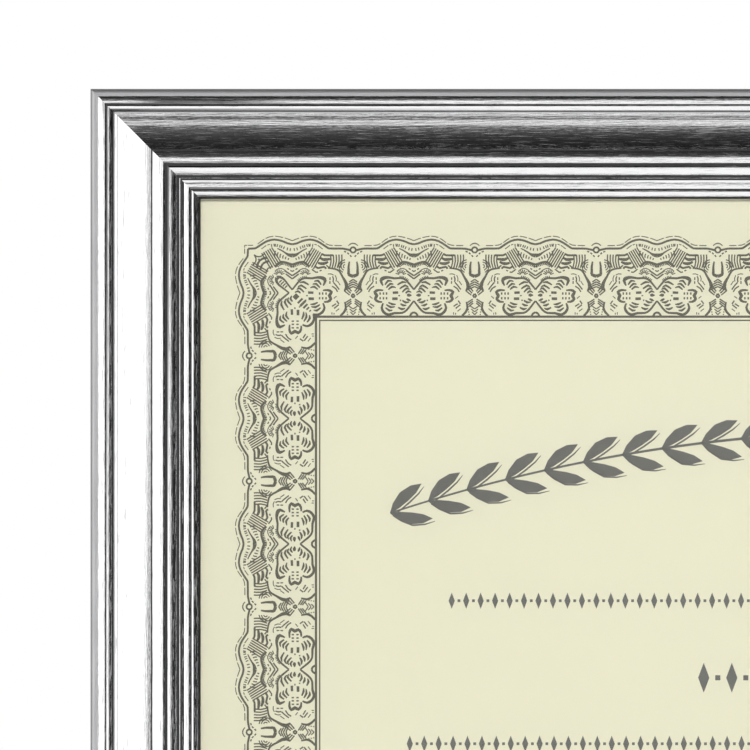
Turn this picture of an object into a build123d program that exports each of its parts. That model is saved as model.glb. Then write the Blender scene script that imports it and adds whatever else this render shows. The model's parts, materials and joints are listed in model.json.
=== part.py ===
from build123d import *
import os
from math import cos, radians, sin, tan

# A landscape certificate frame that stands on a hinged easel leg or hangs on a wall.
# Lengths are in millimetres and angles in degrees. The pieces are drawn upright, with X to the
# viewer's right, Y to the back and Z up, the backs of the rails at Y = 0 and the frame's lower
# edge at Z = 0. The finished frame is then leaned back until it stands on its lower edge and leg.

# Paper and the stack that lies in the rabbet
paper_width = 279.4
paper_height = 215.9
paper_thickness = 0.25
paper_cover = 6.35  # edge of the paper hidden behind the lip
rabbet_play = 1.0  # room beside the stack on each side
glass_thickness = 2.0
card_thickness = 1.5
board_thickness = 3.0

# Moulding, from the outer edge inwards: widths and slopes of its steps, where a positive slope
# rises towards the middle of the frame; the cove takes the width that the other steps leave
face_width = 21.0
lip_thickness = 4.0
edge_width = 0.90
rim_width = 0.51
outer_bead_width = 1.03
outer_bead_slope = 45.0
outer_bead_crown = 0.28
outer_groove_fall = 0.21
outer_groove_floor = 0.16
outer_groove_rise = 0.25
outer_groove_slope = 37.0
second_bead_width = 0.80
second_bead_slope = 50.0
second_bead_foot = 0.25
ledge_fillet = 0.25
ledge_fillet_slope = 40.0
ledge_width = 0.40
ledge_slope = 5.5
ledge_dip_width = 0.15
ledge_dip_slope = 9.5
ledge_step_width = 0.75
ledge_step_start_slope = 10.5
ledge_step_end_slope = 14.5
cove_shelf_width = 1.04
cove_shelf_slope = 5.7
cove_start_slope = 12.0
cove_end_slope = 47.0
crest_crease = 0.28
crest_flank_width = 1.00
crest_foot_slope = 34.0
crest_shoulder_width = 0.42
crest_shoulder_slope = 22.0
crest_crown = 0.57
crest_fall_width = 0.32
crest_fall_slope = 40.0
crest_groove_floor = 0.58
inner_bead_rise = 0.30
inner_bead_rise_slope = 22.0
inner_bead_width = 1.40
inner_bead_slope = 53.0
inner_groove_floor = 0.53
small_bead_rise = 0.10
small_bead_rise_slope = 35.0
small_bead_crown = 0.36
small_bead_width = 0.41
small_bead_start_slope = 16.0
small_bead_end_slope = 36.0
flat_bead_rise = 0.38
flat_bead_slope = 8.5
flat_bead_crown = 0.47
lip_groove_fall = 0.32
lip_groove_floor = 0.28
lip_groove_rise = 0.29
lip_groove_slope = 35.5
lip_width = 0.94
lip_start_slope = 15.0
lip_end_slope = 53.0
sight_width = 0.42
sight_slope = 60.0

# Corner V-nails, two in the back of each mitre
nail_depth = 6.0
nail_thickness = 0.5
nail_wing = 3.2
nail_angle = 38.0  # between a wing and the mitre
first_nail = 5.0  # along the mitre from the outer corner
nail_pitch = 6.5

# Turn buttons and their screws
button_thickness = 1.0
button_pivot_radius = 4.5
button_tip_radius = 3.4
button_pivot_inset = 7.5  # from the rail's outer edge
button_overlap = 6.0  # of the tip over the back board
button_gap = 0.05
button_spacing = 160.0  # between the two on a long rail
screw_radius = 1.5
screw_running_gap = 0.06
screw_length = 6.5  # in the rail
screw_tip = 2.0
screw_tip_radius = 0.3
screw_head_radius = 3.1
screw_head_height = 1.7
screw_head_round = 0.9
screw_slot_width = 0.8
screw_slot_length = 3.8
screw_slot_depth = 0.9

# Easel leg and how the frame stands on it
lean_angle = 14.0
leg_opening = 26.0
leg_thickness = 2.5
leg_fold_gap = 1.2  # between the folded leg and the back board
leg_top_width = 46.0
leg_foot_width = 84.0
leg_corner_round = 5.0
leg_spare_length = 12.0  # trimmed off along the floor

# Barrel hinge of the leg
hinge_height = 150.0
hinge_pin_radius = 1.0
hinge_running_gap = 0.05
hinge_knuckle_wall = 0.75
hinge_barrel_gap = 0.3  # least room around the barrel
hinge_plate_thickness = 0.8
hinge_plate_width = 42.0
board_plate_height = 20.0
leg_plate_height = 24.0
board_knuckle_length = 11.0
leg_knuckle_length = 15.0
knuckle_side_gap = 0.3
pin_head_height = 0.6
pin_head_rim = 0.45
plate_corner_round = 3.0

# Rivets
rivet_radius = 1.5
rivet_head_radius = 2.8
rivet_head_height = 1.1
rivet_head_round = 0.8
rivet_edge = 5.5  # from the edges of a hinge plate

# Ribbon that stops the leg, and its staples
ribbon_width = 12.0
ribbon_thickness = 0.3
ribbon_tab = 10.0
ribbon_bend = 1.5
ribbon_reach = 92.0  # of both anchors below the hinge
staple_width = 7.0
staple_wire = 0.4
staple_depth = 1.6

# Keyhole hangers
hanger_width = 34.0
hanger_height = 20.0
hanger_raised_width = 18.0
hanger_thickness = 0.8
hanger_room = 2.6  # under the raised plate, for a screw head
hanger_bend = 0.35
keyhole_radius = 4.0
keyhole_slot_radius = 2.2
keyhole_slot_length = 7.0
keyhole_drop = 3.5  # of the round entry below the hanger's middle
hanger_rivet_inset = 4.0
landscape_hanger_inset = 18.0  # from the board's top edge to the hanger's middle
portrait_hanger_inset = 18.0  # from the board's right edge to the hanger's middle

# Sizes that follow from these
frame_width = paper_width + 2 * (face_width - paper_cover)
frame_height = paper_height + 2 * (face_width - paper_cover)
frame_middle = frame_height / 2
rabbet_depth = glass_thickness + paper_thickness + card_thickness + board_thickness
back_width = face_width - paper_cover - rabbet_play
board_right = paper_width / 2
board_top = frame_middle + paper_height / 2

hinge_bore = hinge_pin_radius + hinge_running_gap
hinge_barrel = hinge_bore + hinge_knuckle_wall
hinge_plate_start = hinge_barrel + hinge_barrel_gap
hinge_depth = max(
    hinge_barrel + hinge_barrel_gap,
    leg_fold_gap + leg_thickness + hinge_plate_thickness - hinge_barrel,
)
leg_outer = hinge_depth + hinge_barrel - hinge_plate_thickness
leg_inner = leg_outer - leg_thickness
floor_slope = tan(radians(lean_angle))
leg_fall = cos(radians(leg_opening)) + sin(radians(leg_opening)) * floor_slope
leg_length = (hinge_height - hinge_depth * floor_slope) / leg_fall

# The rails in order, each a quarter turn on from the one before
rail_length = {"bottom": frame_width, "left": frame_height, "top": frame_width, "right": frame_height}
rail_reach = {"bottom": frame_height, "left": frame_width, "top": frame_height, "right": frame_width}

# Moulding steps from the outer wall to the sight edge: width, slope at the start, slope at the end.
# A step whose two slopes differ is an arc.
steps_outside_cove = [
    (edge_width, 90, 0),
    (rim_width, 0, 0),
    (outer_bead_width, outer_bead_slope, 0),
    (outer_bead_crown, 0, 0),
    (outer_groove_fall, -outer_groove_slope, -outer_groove_slope),
    (outer_groove_floor, 0, 0),
    (outer_groove_rise, outer_groove_slope, outer_groove_slope),
    (second_bead_width, 0, -second_bead_slope),
    (second_bead_foot, -second_bead_slope, -second_bead_slope),
    (ledge_fillet, -ledge_fillet_slope, 0),
    (ledge_width, ledge_slope, ledge_slope),
    (ledge_dip_width, -ledge_dip_slope, -ledge_dip_slope),
    (ledge_step_width, ledge_step_start_slope, ledge_step_end_slope),
    (cove_shelf_width, cove_shelf_slope, cove_shelf_slope),
]
steps_inside_cove = [
    (crest_crease, 0, 0),
    (crest_flank_width, crest_foot_slope, crest_shoulder_slope),
    (crest_shoulder_width, crest_shoulder_slope, 0),
    (crest_crown, 0, 0),
    (crest_fall_width, -crest_fall_slope, -crest_fall_slope),
    (crest_groove_floor, 0, 0),
    (inner_bead_rise, inner_bead_rise_slope, inner_bead_rise_slope),
    (inner_bead_width, 0, -inner_bead_slope),
    (inner_groove_floor, 0, 0),
    (small_bead_rise, small_bead_rise_slope, small_bead_rise_slope),
    (small_bead_crown, 0, 0),
    (small_bead_width, -small_bead_start_slope, -small_bead_end_slope),
    (flat_bead_rise, flat_bead_slope, flat_bead_slope),
    (flat_bead_crown, 0, 0),
    (lip_groove_fall, -lip_groove_slope, -lip_groove_slope),
    (lip_groove_floor, 0, 0),
    (lip_groove_rise, lip_groove_slope, lip_groove_slope),
    (lip_width, -lip_start_slope, -lip_end_slope),
    (sight_width, -sight_slope, -sight_slope),
]
cove_width = face_width - sum(step[0] for step in steps_outside_cove + steps_inside_cove)
cove = (cove_width, cove_start_slope, cove_end_slope)
profile_steps = steps_outside_cove + [cove] + steps_inside_cove


def step_rise(width, first_slope, last_slope):
    """Rise of one step of the moulding: of a line, or of an arc that turns from slope to slope."""
    first, last = radians(first_slope), radians(last_slope)
    if first == last:
        return width * tan(first)
    return width * (cos(first) - cos(last)) / (sin(last) - sin(first))


wall_height = rabbet_depth + lip_thickness - sum(step_rise(*step) for step in profile_steps)
frame_depth = wall_height + sum(abs(step_rise(*step)) for step in profile_steps)


def slab(outline, front, back):
    """Solid of an outline drawn in X and Z, from Y = front to Y = back."""
    return extrude(Plane.XZ.offset(-back) * outline, amount=back - front)


def rod(radius, start, end):
    """Round bar along the hinge axis, from X = start to X = end."""
    middle = Pos((start + end) / 2, hinge_depth, hinge_height)
    return middle * Rot(0, 90, 0) * Cylinder(radius, end - start)


def sheet(front, back):
    """Flat sheet of the paper's size that lies in the rabbet."""
    return slab(Pos(0, frame_middle) * Rectangle(paper_width, paper_height), front, back)


def on_rail(side):
    """Placement that carries a piece drawn on the bottom rail to another rail."""
    turn = 90 * list(rail_length).index(side)
    return Pos(0, 0, frame_middle) * Rot(0, turn, 0) * Pos(0, 0, -rail_reach[side] / 2)


# Rails

def moulding_profile():
    """Section of a rail: across is the distance from the outer edge, up is towards the front."""
    point = (0, wall_height)
    edges = [Line((0, 0), point)]
    for width, first_slope, last_slope in profile_steps:
        following = (point[0] + width, point[1] + step_rise(width, first_slope, last_slope))
        if first_slope == last_slope:
            edges.append(Line(point, following))
        else:
            direction = (cos(radians(first_slope)), sin(radians(first_slope)))
            edges.append(TangentArc(point, following, tangent=direction))
        point = following
    rabbet_corner = (back_width, rabbet_depth)
    edges += Polyline(point, (point[0], rabbet_depth), rabbet_corner, (back_width, 0), (0, 0)).edges()
    return make_face(edges)


def rail(length):
    """Bottom rail of the given outer length, mitred at both ends."""
    section_plane = Plane(origin=(-length / 2, 0, 0), x_dir=(0, 0, 1), z_dir=(1, 0, 0))
    bar = extrude(section_plane * moulding_profile(), amount=length)
    outer = length / 2
    inner = outer - face_width
    corners = [(-outer, 0), (outer, 0), (inner, face_width), (-inner, face_width)]
    mitred = make_face(Polyline(*corners, close=True))
    return bar & slab(mitred, -frame_depth, 0)


def corner_nails():
    """V-nails of all four corners, with the point of each V towards the outer corner."""
    along = nail_wing * cos(radians(nail_angle))
    across = nail_wing * sin(radians(nail_angle))
    thick = nail_thickness / sin(radians(nail_angle))
    chevron = make_face(Polyline(
        (0, 0), (along, across), (along + thick, across),
        (thick, 0), (along + thick, -across), (along, -across), close=True))
    nails = []
    for side in rail_length:
        corner = Pos(-rail_length[side] / 2, 0) * Rot(0, 0, 45)
        for place in (first_nail, first_nail + nail_pitch):
            nail = slab(corner * Pos(place, 0) * chevron, -nail_depth, 0)
            nails.append(on_rail(side) * nail)
    return nails


# Turn buttons

button_places = {
    "turn_button_top_left": ("top", button_spacing / 2),
    "turn_button_top_right": ("top", -button_spacing / 2),
    "turn_button_bottom_left": ("bottom", -button_spacing / 2),
    "turn_button_bottom_right": ("bottom", button_spacing / 2),
    "turn_button_left": ("left", 0),
    "turn_button_right": ("right", 0),
}


def button_pivot(name):
    """Placement of a turn button's pivot, with the button pointing along +Z of the bottom rail."""
    side, along = button_places[name]
    return on_rail(side) * Pos(along, 0, button_pivot_inset)


def turn_button():
    """Flat tapered button with its pivot hole at the origin."""
    reach = back_width + rabbet_play + button_overlap - button_pivot_inset
    ends = Curve() + Circle(button_pivot_radius).edges()
    ends += (Pos(0, reach - button_tip_radius) * Circle(button_tip_radius)).edges()
    outline = make_hull(ends.edges()) - Circle(screw_radius + screw_running_gap)
    return slab(outline, button_gap, button_gap + button_thickness)


def button_screw():
    """Pan-head screw with a cross slot, on the pivot axis of a turn button."""
    head_base = button_thickness + 2 * button_gap
    head = slab(Circle(screw_head_radius), head_base, head_base + screw_head_height)
    head = fillet(head.edges().sort_by(Axis.Y)[-1], screw_head_round)
    cross = Rectangle(screw_slot_length, screw_slot_width) + Rectangle(screw_slot_width, screw_slot_length)
    head_back = head_base + screw_head_height
    head -= slab(cross, head_back - screw_slot_depth, head_back)
    shank = slab(Circle(screw_radius), screw_tip - screw_length, head_base)
    tip = Cone(screw_radius, screw_tip_radius, screw_tip, align=(Align.CENTER, Align.CENTER, Align.MIN))
    return head + shank + Pos(0, screw_tip - screw_length, 0) * Rot(90, 0, 0) * tip


# Rivets

def rivet(across, up, tail, seat):
    """Domed rivet from its flush tail at Y = tail to its head on the plate at Y = seat."""
    head = slab(Circle(rivet_head_radius), seat, seat + rivet_head_height)
    head = fillet(head.edges().sort_by(Axis.Y)[-1], rivet_head_round)
    return Pos(across, 0, up) * (head + slab(Circle(rivet_radius), tail, seat))


# Easel hinge and leg

def plate_rivets(bottom, height, tail, seat):
    """Four rivets near the corners of a hinge plate."""
    across = hinge_plate_width / 2 - rivet_edge
    return [
        rivet(side * across, level, tail, seat)
        for side in (-1, 1)
        for level in (bottom + rivet_edge, bottom + height - rivet_edge)
    ]


def hinge_leaf(bottom, height, front):
    """Flat leaf of the hinge with rounded corners."""
    outline = RectangleRounded(hinge_plate_width, height, plate_corner_round)
    return slab(Pos(0, bottom + height / 2) * outline, front, front + hinge_plate_thickness)


def hinge_board_plate():
    """Leaf on the back board whose two outer knuckles hold the pin."""
    plate = hinge_leaf(hinge_height + hinge_plate_start, board_plate_height, 0)
    inner = leg_knuckle_length / 2 + knuckle_side_gap
    outer = inner + board_knuckle_length
    wall_top = hinge_height + hinge_barrel
    foot_top = hinge_height + hinge_plate_start + plate_corner_round
    for side in (-1, 1):
        middle = side * (inner + outer) / 2
        start, end = sorted((side * inner, side * outer))
        wall = Pos(middle, wall_top - hinge_plate_thickness / 2)
        wall = wall * Rectangle(board_knuckle_length, hinge_plate_thickness)
        foot_height = foot_top - wall_top + hinge_plate_thickness
        foot = Pos(middle, foot_top - foot_height / 2) * Rectangle(board_knuckle_length, foot_height)
        plate += slab(wall, 0, hinge_depth)
        plate += slab(foot, 0, hinge_plate_thickness)
        plate += rod(hinge_barrel, start, end)
    return plate - rod(hinge_bore, -outer, outer)


def hinge_leg_plate():
    """Leaf on the folded leg whose middle knuckle turns on the pin."""
    top = hinge_height - hinge_plate_start
    plate = hinge_leaf(top - leg_plate_height, leg_plate_height, leg_outer)
    neck_height = hinge_plate_start + plate_corner_round
    neck = Pos(0, hinge_height - neck_height / 2) * Rectangle(leg_knuckle_length, neck_height)
    plate += slab(neck, leg_outer, leg_outer + hinge_plate_thickness)
    plate += rod(hinge_barrel, -leg_knuckle_length / 2, leg_knuckle_length / 2)
    return plate - rod(hinge_bore, -leg_knuckle_length / 2, leg_knuckle_length / 2)


def hinge_pin():
    """Pin through the three knuckles with a head peened on each end."""
    end = leg_knuckle_length / 2 + knuckle_side_gap + board_knuckle_length
    pin = rod(hinge_pin_radius, -end, end)
    for side in (-1, 1):
        start, stop = sorted((side * end, side * (end + pin_head_height)))
        pin += rod(hinge_pin_radius + pin_head_rim, start, stop)
    return pin


def easel_leg():
    """Tapered leg in its folded place, long enough to be trimmed along the floor."""
    top = hinge_height - hinge_plate_start
    foot = hinge_height - leg_length - leg_spare_length
    upper = leg_top_width / 2
    lower = leg_foot_width / 2
    outline = make_face(Polyline((-upper, top), (upper, top), (lower, foot), (-lower, foot), close=True))
    outline = fillet(outline.vertices().sort_by(Axis.Y)[-2:], leg_corner_round)
    return slab(outline, leg_inner, leg_outer)


def opened():
    """Placement that swings the folded leg out to its standing angle."""
    axis = Pos(0, hinge_depth, hinge_height)
    return axis * Rot(leg_opening, 0, 0) * axis.inverse()


# Ribbon and staples

ribbon_level = hinge_height - ribbon_reach


def staple(level, seat, direction):
    """Staple whose crown lies on the ribbon at Y = seat, with its legs along the given direction."""
    crown_face = seat - direction * staple_wire
    leg_end = seat + direction * (ribbon_thickness + staple_depth)
    front, back = sorted((crown_face, seat))
    wire = slab(Pos(0, level) * Rectangle(staple_width, staple_wire), front, back)
    front, back = sorted((crown_face, leg_end))
    for side in (-1, 1):
        across = side * (staple_width - staple_wire) / 2
        wire += slab(Pos(across, level) * Rectangle(staple_wire, staple_wire), front, back)
    return wire


def ribbon():
    """Taut ribbon between the back board and the opened leg, with a flat tab at each end."""
    half = ribbon_thickness / 2
    on_leg = [
        opened() * Pos(0, leg_inner - half, ribbon_level),
        opened() * Pos(0, leg_inner - half, ribbon_level - ribbon_tab),
    ]
    points = [(half, ribbon_level + ribbon_tab), (half, ribbon_level)]
    points += [(place.position.Y, place.position.Z) for place in on_leg]
    band = trace(FilletPolyline(*points, radius=ribbon_bend), ribbon_thickness)
    return extrude(Plane.YZ * band, amount=ribbon_width / 2, both=True)


# Keyhole hangers

def keyhole_hanger():
    """Raised plate with a keyhole, slot upwards, round entry centred at X = 0 and Z = -keyhole_drop."""
    raised = hanger_raised_width / 2
    inside = raised - hanger_thickness
    edge = hanger_width / 2
    top = hanger_room + hanger_thickness
    half = [(edge, 0), (edge, hanger_thickness), (raised, hanger_thickness), (raised, top)]
    half_inside = [(inside, hanger_room), (inside, 0)]
    outer = half + [(-across, up) for across, up in reversed(half)]
    inner = [(-across, up) for across, up in reversed(half_inside)] + half_inside
    section = make_face(Polyline(*outer, *inner, close=True))
    bends = [corner for corner in section.vertices() if abs(corner.X) < raised + hanger_thickness]
    section = fillet(bends, hanger_bend)
    plate = Pos(0, 0, -hanger_height / 2) * extrude(section, amount=hanger_height)
    entry = Pos(0, -keyhole_drop) * Circle(keyhole_radius)
    slot_top = keyhole_slot_length - keyhole_drop
    slot_middle = Pos(0, slot_top - keyhole_slot_length / 2)
    slot = slot_middle * Rectangle(2 * keyhole_slot_radius, keyhole_slot_length)
    slot += Pos(0, slot_top) * Circle(keyhole_slot_radius)
    plate -= slab(entry + slot, hanger_room, top)
    for side in (-1, 1):
        across = side * (edge - hanger_rivet_inset)
        plate -= slab(Pos(across, 0) * Circle(rivet_radius), 0, hanger_thickness)
    return plate


def hanger_rivets():
    """The two rivets of a hanger, through the back board."""
    across = hanger_width / 2 - hanger_rivet_inset
    return [rivet(side * across, 0, -board_thickness, hanger_thickness) for side in (-1, 1)]


landscape_place = Pos(0, 0, board_top - landscape_hanger_inset)
portrait_place = Pos(board_right - portrait_hanger_inset, 0, frame_middle) * Rot(0, 90, 0)


# The assembled frame, upright

nails = corner_nails()
screws = [button_pivot(name) * button_screw() for name in button_places]
board_rivets = plate_rivets(
    hinge_height + hinge_plate_start, board_plate_height, -board_thickness, hinge_plate_thickness)
leg_rivets = plate_rivets(
    hinge_height - hinge_plate_start - leg_plate_height, leg_plate_height,
    leg_inner, leg_outer + hinge_plate_thickness)
hung_rivets = [place * one for place in (landscape_place, portrait_place) for one in hanger_rivets()]
board_staple = staple(ribbon_level + ribbon_tab / 2, ribbon_thickness, -1)
leg_staple = staple(ribbon_level - ribbon_tab / 2, leg_inner - ribbon_thickness, 1)

fixed = {f"{side}_rail": on_rail(side) * rail(rail_length[side]) - nails - screws for side in rail_length}
fixed["corner_v_nails"] = Compound(nails)

stack_front = -rabbet_depth
paper_front = stack_front + glass_thickness
card_front = paper_front + paper_thickness
fixed["glazing"] = sheet(stack_front, paper_front)
fixed["certificate"] = sheet(paper_front, card_front)
fixed["filler_card"] = sheet(card_front, -board_thickness)
fixed["back_board"] = sheet(-board_thickness, 0) - board_rivets - hung_rivets - board_staple

for name in button_places:
    fixed[name] = button_pivot(name) * turn_button()
fixed["turn_button_screws"] = Compound(screws)

fixed["hinge_board_plate"] = hinge_board_plate() - board_rivets
fixed["hinge_pin"] = hinge_pin()
fixed["hinge_board_rivets"] = Compound(board_rivets)
fixed["landscape_hanger"] = landscape_place * keyhole_hanger()
fixed["portrait_hanger"] = portrait_place * keyhole_hanger()
fixed["hanger_rivets"] = Compound(hung_rivets)
fixed["ribbon_board_staple"] = board_staple
fixed["easel_ribbon"] = ribbon() - board_staple - opened() * leg_staple

swung = {
    "easel_leg": easel_leg() - leg_rivets - leg_staple,
    "hinge_leg_plate": hinge_leg_plate() - leg_rivets,
    "hinge_leg_rivets": Compound(leg_rivets),
    "ribbon_leg_staple": leg_staple,
}


# Standing on the floor, with the origin under the middle of the whole frame

leaned = {name: Rot(-lean_angle, 0, 0) * piece for name, piece in fixed.items()}
for name, piece in swung.items():
    leaned[name] = Rot(-lean_angle, 0, 0) * opened() * piece
under = (Align.CENTER, Align.CENTER, Align.MAX)
below_floor = Box(frame_width, 2 * frame_height, frame_height, align=under)
leaned["easel_leg"] -= below_floor

boxes = [piece.bounding_box() for piece in leaned.values()]
middle_y = (min(box.min.Y for box in boxes) + max(box.max.Y for box in boxes)) / 2
standing = Pos(0, -middle_y, 0)

os.makedirs("parts", exist_ok=True)
for name, piece in leaned.items():
    export_step(standing * piece, f"parts/{name}.step")
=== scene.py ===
import json
from math import atan2, ceil, cos, dist, hypot, pi, radians, sin, tan

import bpy
from mathutils import Matrix, Vector


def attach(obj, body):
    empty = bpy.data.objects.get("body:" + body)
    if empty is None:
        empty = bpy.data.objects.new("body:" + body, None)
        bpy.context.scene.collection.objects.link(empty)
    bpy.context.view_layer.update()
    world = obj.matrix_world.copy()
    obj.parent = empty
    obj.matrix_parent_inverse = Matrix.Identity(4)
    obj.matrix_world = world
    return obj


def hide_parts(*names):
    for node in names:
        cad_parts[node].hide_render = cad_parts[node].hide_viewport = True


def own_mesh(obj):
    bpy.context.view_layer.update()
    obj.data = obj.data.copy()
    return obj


# A landscape certificate frame in silver foil that stands on an easel leg.
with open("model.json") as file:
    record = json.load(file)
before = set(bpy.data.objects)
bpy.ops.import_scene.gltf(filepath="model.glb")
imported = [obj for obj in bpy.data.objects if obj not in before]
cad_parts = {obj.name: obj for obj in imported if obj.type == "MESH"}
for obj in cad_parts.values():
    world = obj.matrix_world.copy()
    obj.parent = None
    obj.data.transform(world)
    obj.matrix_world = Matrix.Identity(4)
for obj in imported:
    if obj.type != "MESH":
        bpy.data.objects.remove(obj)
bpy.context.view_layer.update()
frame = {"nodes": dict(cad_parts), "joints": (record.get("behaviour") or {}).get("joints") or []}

MM = 0.001

# How the frame leans: pieces are drawn upright, with X to the viewer's right, Y to the back and Z up,
# the backs of the rails at Y = 0 and the lower edge at Z = 0, and STAND leans them back.
joints = {joint["name"]: joint for joint in frame["joints"]}
pivot = joints["button_left_turn"]
lean = atan2(-pivot["axis"][2], pivot["axis"][1])
foot_y = pivot["pos_m"][1] - pivot["pos_m"][2] * tan(lean)
STAND = Matrix.Translation((0, foot_y, 0)) @ Matrix.Rotation(-lean, 4, "X")
face_normal = STAND.to_3x3() @ Vector((0, -1, 0))
face_up = STAND.to_3x3() @ Vector((0, 0, 1))
leg_opening = radians(-joints["leg_fold"]["range_deg"][0])


def upright_box(node):
    """Lowest and highest corner of a CAD node in the upright frame."""
    upright = STAND.inverted()
    points = [upright @ vertex.co for vertex in frame["nodes"][node].data.vertices]
    return [Vector([pick(places) for places in zip(*points)]) for pick in (min, max)]


frame_width = 2 * upright_box("bottom_rail")[1].x
frame_height = upright_box("top_rail")[1].z
glass_low, glass_high = upright_box("glazing")
paper_low, paper_high = upright_box("certificate")

# Camera: square to the face, close on the upper left corner
PHOTO_SIZE = 750
PIXELS_PER_MM = 5.26
OUTER_CORNER_PIXEL = (90.4, 88.75)
FACE_LEVEL = 9.5 * MM  # height of the face in front of the backs of the rails
CAMERA_DISTANCE = 1.2
CLIP_START = 0.01
SENSOR_WIDTH = 36.0

# Lamps: place, aim, size in metres and power in watts
LAMPS = {
    "key_lamp": (face_normal * 1.6 + Vector((-0.08, 0, 0.3)), (-0.08, 0, 0.2), 0.14, 20.25),
    "back_lamp": ((0.6, 1.3, 1.5), (0, 0, 0.1), 1.2, 20),
}

# Studio: light of the surroundings that the foil mirrors, as shares of white. A pair of numbers is where
# a part of them starts and stops fading, as a share of the way up, to the right or to the front.
PANEL_LEVEL = 0.84
PANEL_TOP = (0.25, 0.4)
PANEL_RIGHT = (0.1, 0.37)
PANEL_SLANT = 0.42  # its upper edge is lower to the left
SLANT_ACROSS = (-0.3, 0.4)
SLANT_FOOT = (0.08, 0.22)
SLANT_LEFT_END = (-0.6, -0.4)
LEFT_SHARE = 1.7
LEFT_PART = (-0.3, 0)
BEHIND_LEVEL = 0.22
BEHIND = (0, 0.42)
REAR_LEVEL = 0.5
REAR = (-0.65, -0.3)
ROOM_LEVEL = 0.115
CEILING_SHARE = 0.11
CEILING = (0.45, 1)
RIGHT_SHARE = 0.12
RIGHT_PART = (0.3, 0.8)
CLUTTER_SCALE = 6.0  # dark and light things in the room
CLUTTER_STEPS = (0.38, 0.62, 0.35, 1.9)
AMBIENT_LEVEL = 0.09
FLOOR_COLOUR = (0.92, 0.92, 0.92, 1)
FLOOR_HALF_SIZE = 5.0
FLOOR_RADII = (0.22, 0.4)  # in metres: shadows up to the first, plain white beyond the second
FLOOR_NEAR_SHARE = 0.3  # of plain white where it takes shadows
FLOOR_BEHIND_LEVEL = 0.1
FLOOR_NEAR_SIDE = (0.45, 0.9)  # the mirrored floor is darker close beside the frame

# Moulding
FACE_WIDTH = 21.0 * MM
RABBET_PLAY = 1.0 * MM  # beside the glass, paper, card and board
BACK_RECESS = 0.05 * MM  # leaves the ends of the corner nails showing
DEGREES_PER_DIVISION = 2.5
CREASE_ANGLE = radians(3.5)

# Steps of the moulding from the outer edge inwards: finish, width in millimetres, and the slope in
# degrees where the step starts and where it ends. The cove takes the width that the others leave.
# Three of these finishes are silver foil with painted shade that grows towards the corners of the frame.
STEPS_OUTSIDE_COVE = [
    ("satin", 0.9, 90, 0),  # outer edge
    ("satin", 0.51, 0, 0),  # rim
    ("foil", 0.65, 45, 15),  # outer bead
    ("band_shaded", 0.38, 15, 0),
    ("band_shaded", 0.28, 0, 0),
    ("shaded", 0.21, -37, -37),  # groove between the outer beads
    ("toned", 0.16, 0, 0),
    ("corner_shaded", 0.25, 37, 37),
    ("foil", 0.44, 0, -25),  # second bead
    ("shaded", 0.36, -25, -50),
    ("toned", 0.25, -50, -50),
    ("satin", 0.25, -40, 0),
    ("foil", 0.4, 5.5, 5.5),  # ledge with a shallow dip
    ("satin", 0.15, -9.5, -9.5),
    ("foil", 0.75, 10.5, 14.5),
    ("foil", 1.04, 5.7, 5.7),  # shelf in front of the cove
]
COVE_SLOPES = (12, 47)
STEPS_INSIDE_COVE = [
    ("toned", 0.28, 0, 0),  # crease under the crest
    ("foil", 1.0, 34, 22),  # crest
    ("foil", 0.42, 22, 0),
    ("foil", 0.57, 0, 0),
    ("foil", 0.32, -40, -40),
    ("toned", 0.58, 0, 0),  # groove inside the crest
    ("corner_shaded", 0.3, 22, 22),  # inner bead
    ("foil", 1.4, 0, -53),
    ("toned", 0.53, 0, 0),  # groove inside the inner bead
    ("foil", 0.1, 35, 35),  # small bead
    ("toned", 0.36, 0, 0),
    ("foil", 0.41, -16, -36),
    ("foil", 0.38, 8.5, 8.5),  # flat bead
    ("foil", 0.47, 0, 0),
    ("shaded", 0.32, -35.5, -35.5),  # groove outside the lip
    ("toned", 0.28, 0, 0),
    ("foil", 0.29, 35.5, 35.5),
    ("foil", 0.94, -15, -53),  # lip
    ("toned", 0.42, -60, -60),  # sight edge
]


# Node and mesh helpers

def put(tree, kind, inputs=None, **settings):
    """Adds a shader node; inputs maps an input's name or number to a value or to a socket to link."""
    node = tree.nodes.new("ShaderNode" + kind)
    for name, value in settings.items():
        setattr(node, name, value)
    for key, value in (inputs or {}).items():
        if isinstance(value, bpy.types.NodeSocket):
            tree.links.new(value, node.inputs[key])
        else:
            node.inputs[key].default_value = value
    return node


def math_node(tree, operation, first, *others):
    """Values joined one after another by an operation."""
    for other in others:
        first = put(tree, "Math", {0: first, 1: other}, operation=operation).outputs[0]
    return first


def ramp(tree, value, start, end, low, high):
    """Value mapped smoothly from start..end to low..high."""
    inputs = {"Value": value, 1: start, 2: end, 3: low, 4: high}
    return put(tree, "MapRange", inputs, interpolation_type="SMOOTHSTEP").outputs[0]


def new_material(name):
    """An empty node material, its tree and its output node."""
    material = bpy.data.materials.new(name)
    material.use_nodes = True
    tree = material.node_tree
    tree.nodes.clear()
    return material, tree, put(tree, "OutputMaterial")


def surface_material(name, constants):
    """A material with one principled shader, which takes the constants given."""
    material, tree, output = new_material(name)
    shader = put(tree, "BsdfPrincipled", constants)
    tree.links.new(shader.outputs[0], output.inputs["Surface"])
    return material, tree, shader


def component(tree, vector, axis):
    """Length of a vector along an axis."""
    return put(tree, "VectorMath", {0: vector, 1: axis}, operation="DOT_PRODUCT").outputs["Value"]


def noise(tree, vector, scale, detail=2.0, roughness=0.5):
    inputs = {"Vector": vector, "Scale": scale, "Detail": detail, "Roughness": roughness}
    return put(tree, "TexNoise", inputs).outputs["Fac"]


def grain(tree, vector, scales, detail=2.0, roughness=0.5):
    """Noise with a scale of its own on each axis."""
    stretched = put(tree, "Mapping", {"Vector": vector, "Scale": scales}).outputs[0]
    return noise(tree, stretched, 1.0, detail, roughness)


def bump(tree, shader, height, distance, strength=1.0):
    node = put(tree, "Bump", {"Height": height, "Distance": distance, "Strength": strength})
    tree.links.new(node.outputs[0], shader.inputs["Normal"])


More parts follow.
